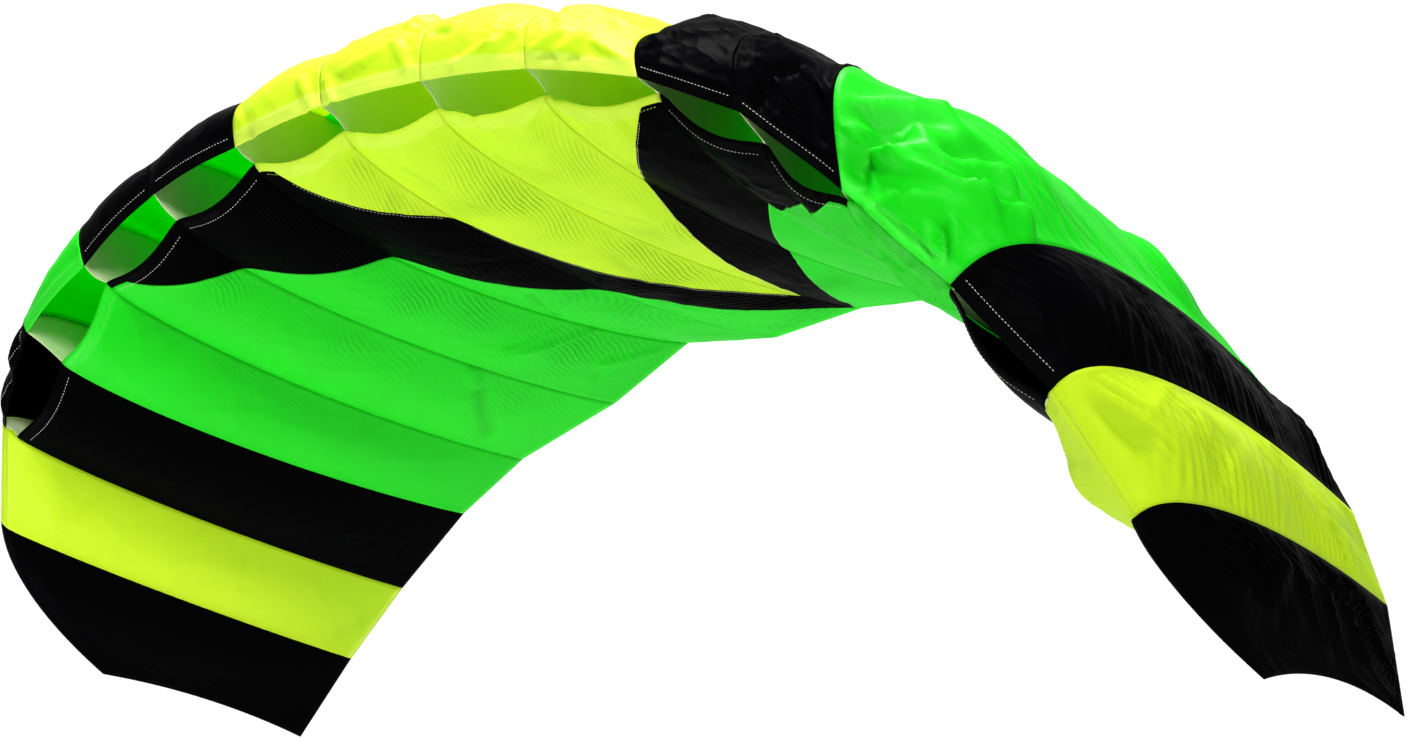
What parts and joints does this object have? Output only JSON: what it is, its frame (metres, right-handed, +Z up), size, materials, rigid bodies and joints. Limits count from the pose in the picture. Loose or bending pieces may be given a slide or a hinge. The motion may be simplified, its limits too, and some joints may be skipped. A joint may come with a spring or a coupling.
{
  "type": "trainer kite",
  "caption": "Ram-air trainer kite in flight: an arched cloth wing of sewn cells with open intakes along the nose, white ribs, rounded tips and a chevron of bright panels.",
  "frame": {"origin": "bridle point of the centre rib, on the lower skin just behind the nose", "axes": "+X along the span, +Y from nose to tail, +Z up through the top of the arch"},
  "size_m": [1.7113, 0.8699, 0.8071],
  "materials": {
    "green_ripstop": "thin coated ripstop, slight sheen",
    "yellow_ripstop": "thin coated ripstop, slight sheen",
    "black_ripstop": "thin coated ripstop, slight sheen",
    "white_ripstop": "thin translucent ripstop"
  },
  "bodies": {
    "root": {"upper_01_black": "black_ripstop", "lower_01_black": "black_ripstop", "upper_02_yellow": "yellow_ripstop", "lower_02_yellow": "yellow_ripstop", "upper_03_black": "black_ripstop", "lower_03_black": "black_ripstop", "upper_04_green": "green_ripstop", "lower_04_green": "green_ripstop", "upper_05_black": "black_ripstop", "lower_05_black": "black_ripstop", "lower_05_green": "green_ripstop", "upper_06_black": "black_ripstop", "lower_06_black": "black_ripstop", "lower_06_green": "green_ripstop", "upper_07_yellow": "yellow_ripstop", "lower_07_yellow": "yellow_ripstop", "lower_07_black": "black_ripstop", "lower_07_green": "green_ripstop", "upper_08_yellow": "yellow_ripstop", "lower_08_yellow": "yellow_ripstop", "lower_08_black": "black_ripstop", "lower_08_green": "green_ripstop", "upper_09_yellow": "yellow_ripstop", "lower_09_yellow": "yellow_ripstop", "lower_09_black": "black_ripstop", "lower_09_green": "green_ripstop", "upper_10_yellow": "yellow_ripstop", "lower_10_yellow": "yellow_ripstop", "lower_10_black": "black_ripstop", "lower_10_green": "green_ripstop", "upper_11_black": "black_ripstop", "lower_11_black": "black_ripstop", "lower_11_green": "green_ripstop", "upper_12_black": "black_ripstop", "lower_12_black": "black_ripstop", "lower_12_green": "green_ripstop", "upper_13_green": "green_ripstop", "lower_13_green": "green_ripstop", "upper_14_black": "black_ripstop", "lower_14_black": "black_ripstop", "upper_15_yellow": "yellow_ripstop", "lower_15_yellow": "yellow_ripstop", "upper_16_black": "black_ripstop", "lower_16_black": "black_ripstop", "rib_01": "white_ripstop", "rib_02": "white_ripstop", "rib_03": "white_ripstop", "rib_04": "white_ripstop", "rib_05": "white_ripstop", "rib_06": "white_ripstop", "rib_07": "white_ripstop", "rib_08": "white_ripstop", "rib_09": "white_ripstop", "rib_10": "white_ripstop", "rib_11": "white_ripstop", "rib_12": "white_ripstop", "rib_13": "white_ripstop", "rib_14": "white_ripstop", "rib_15": "white_ripstop"}
  },
  "joints": []
}
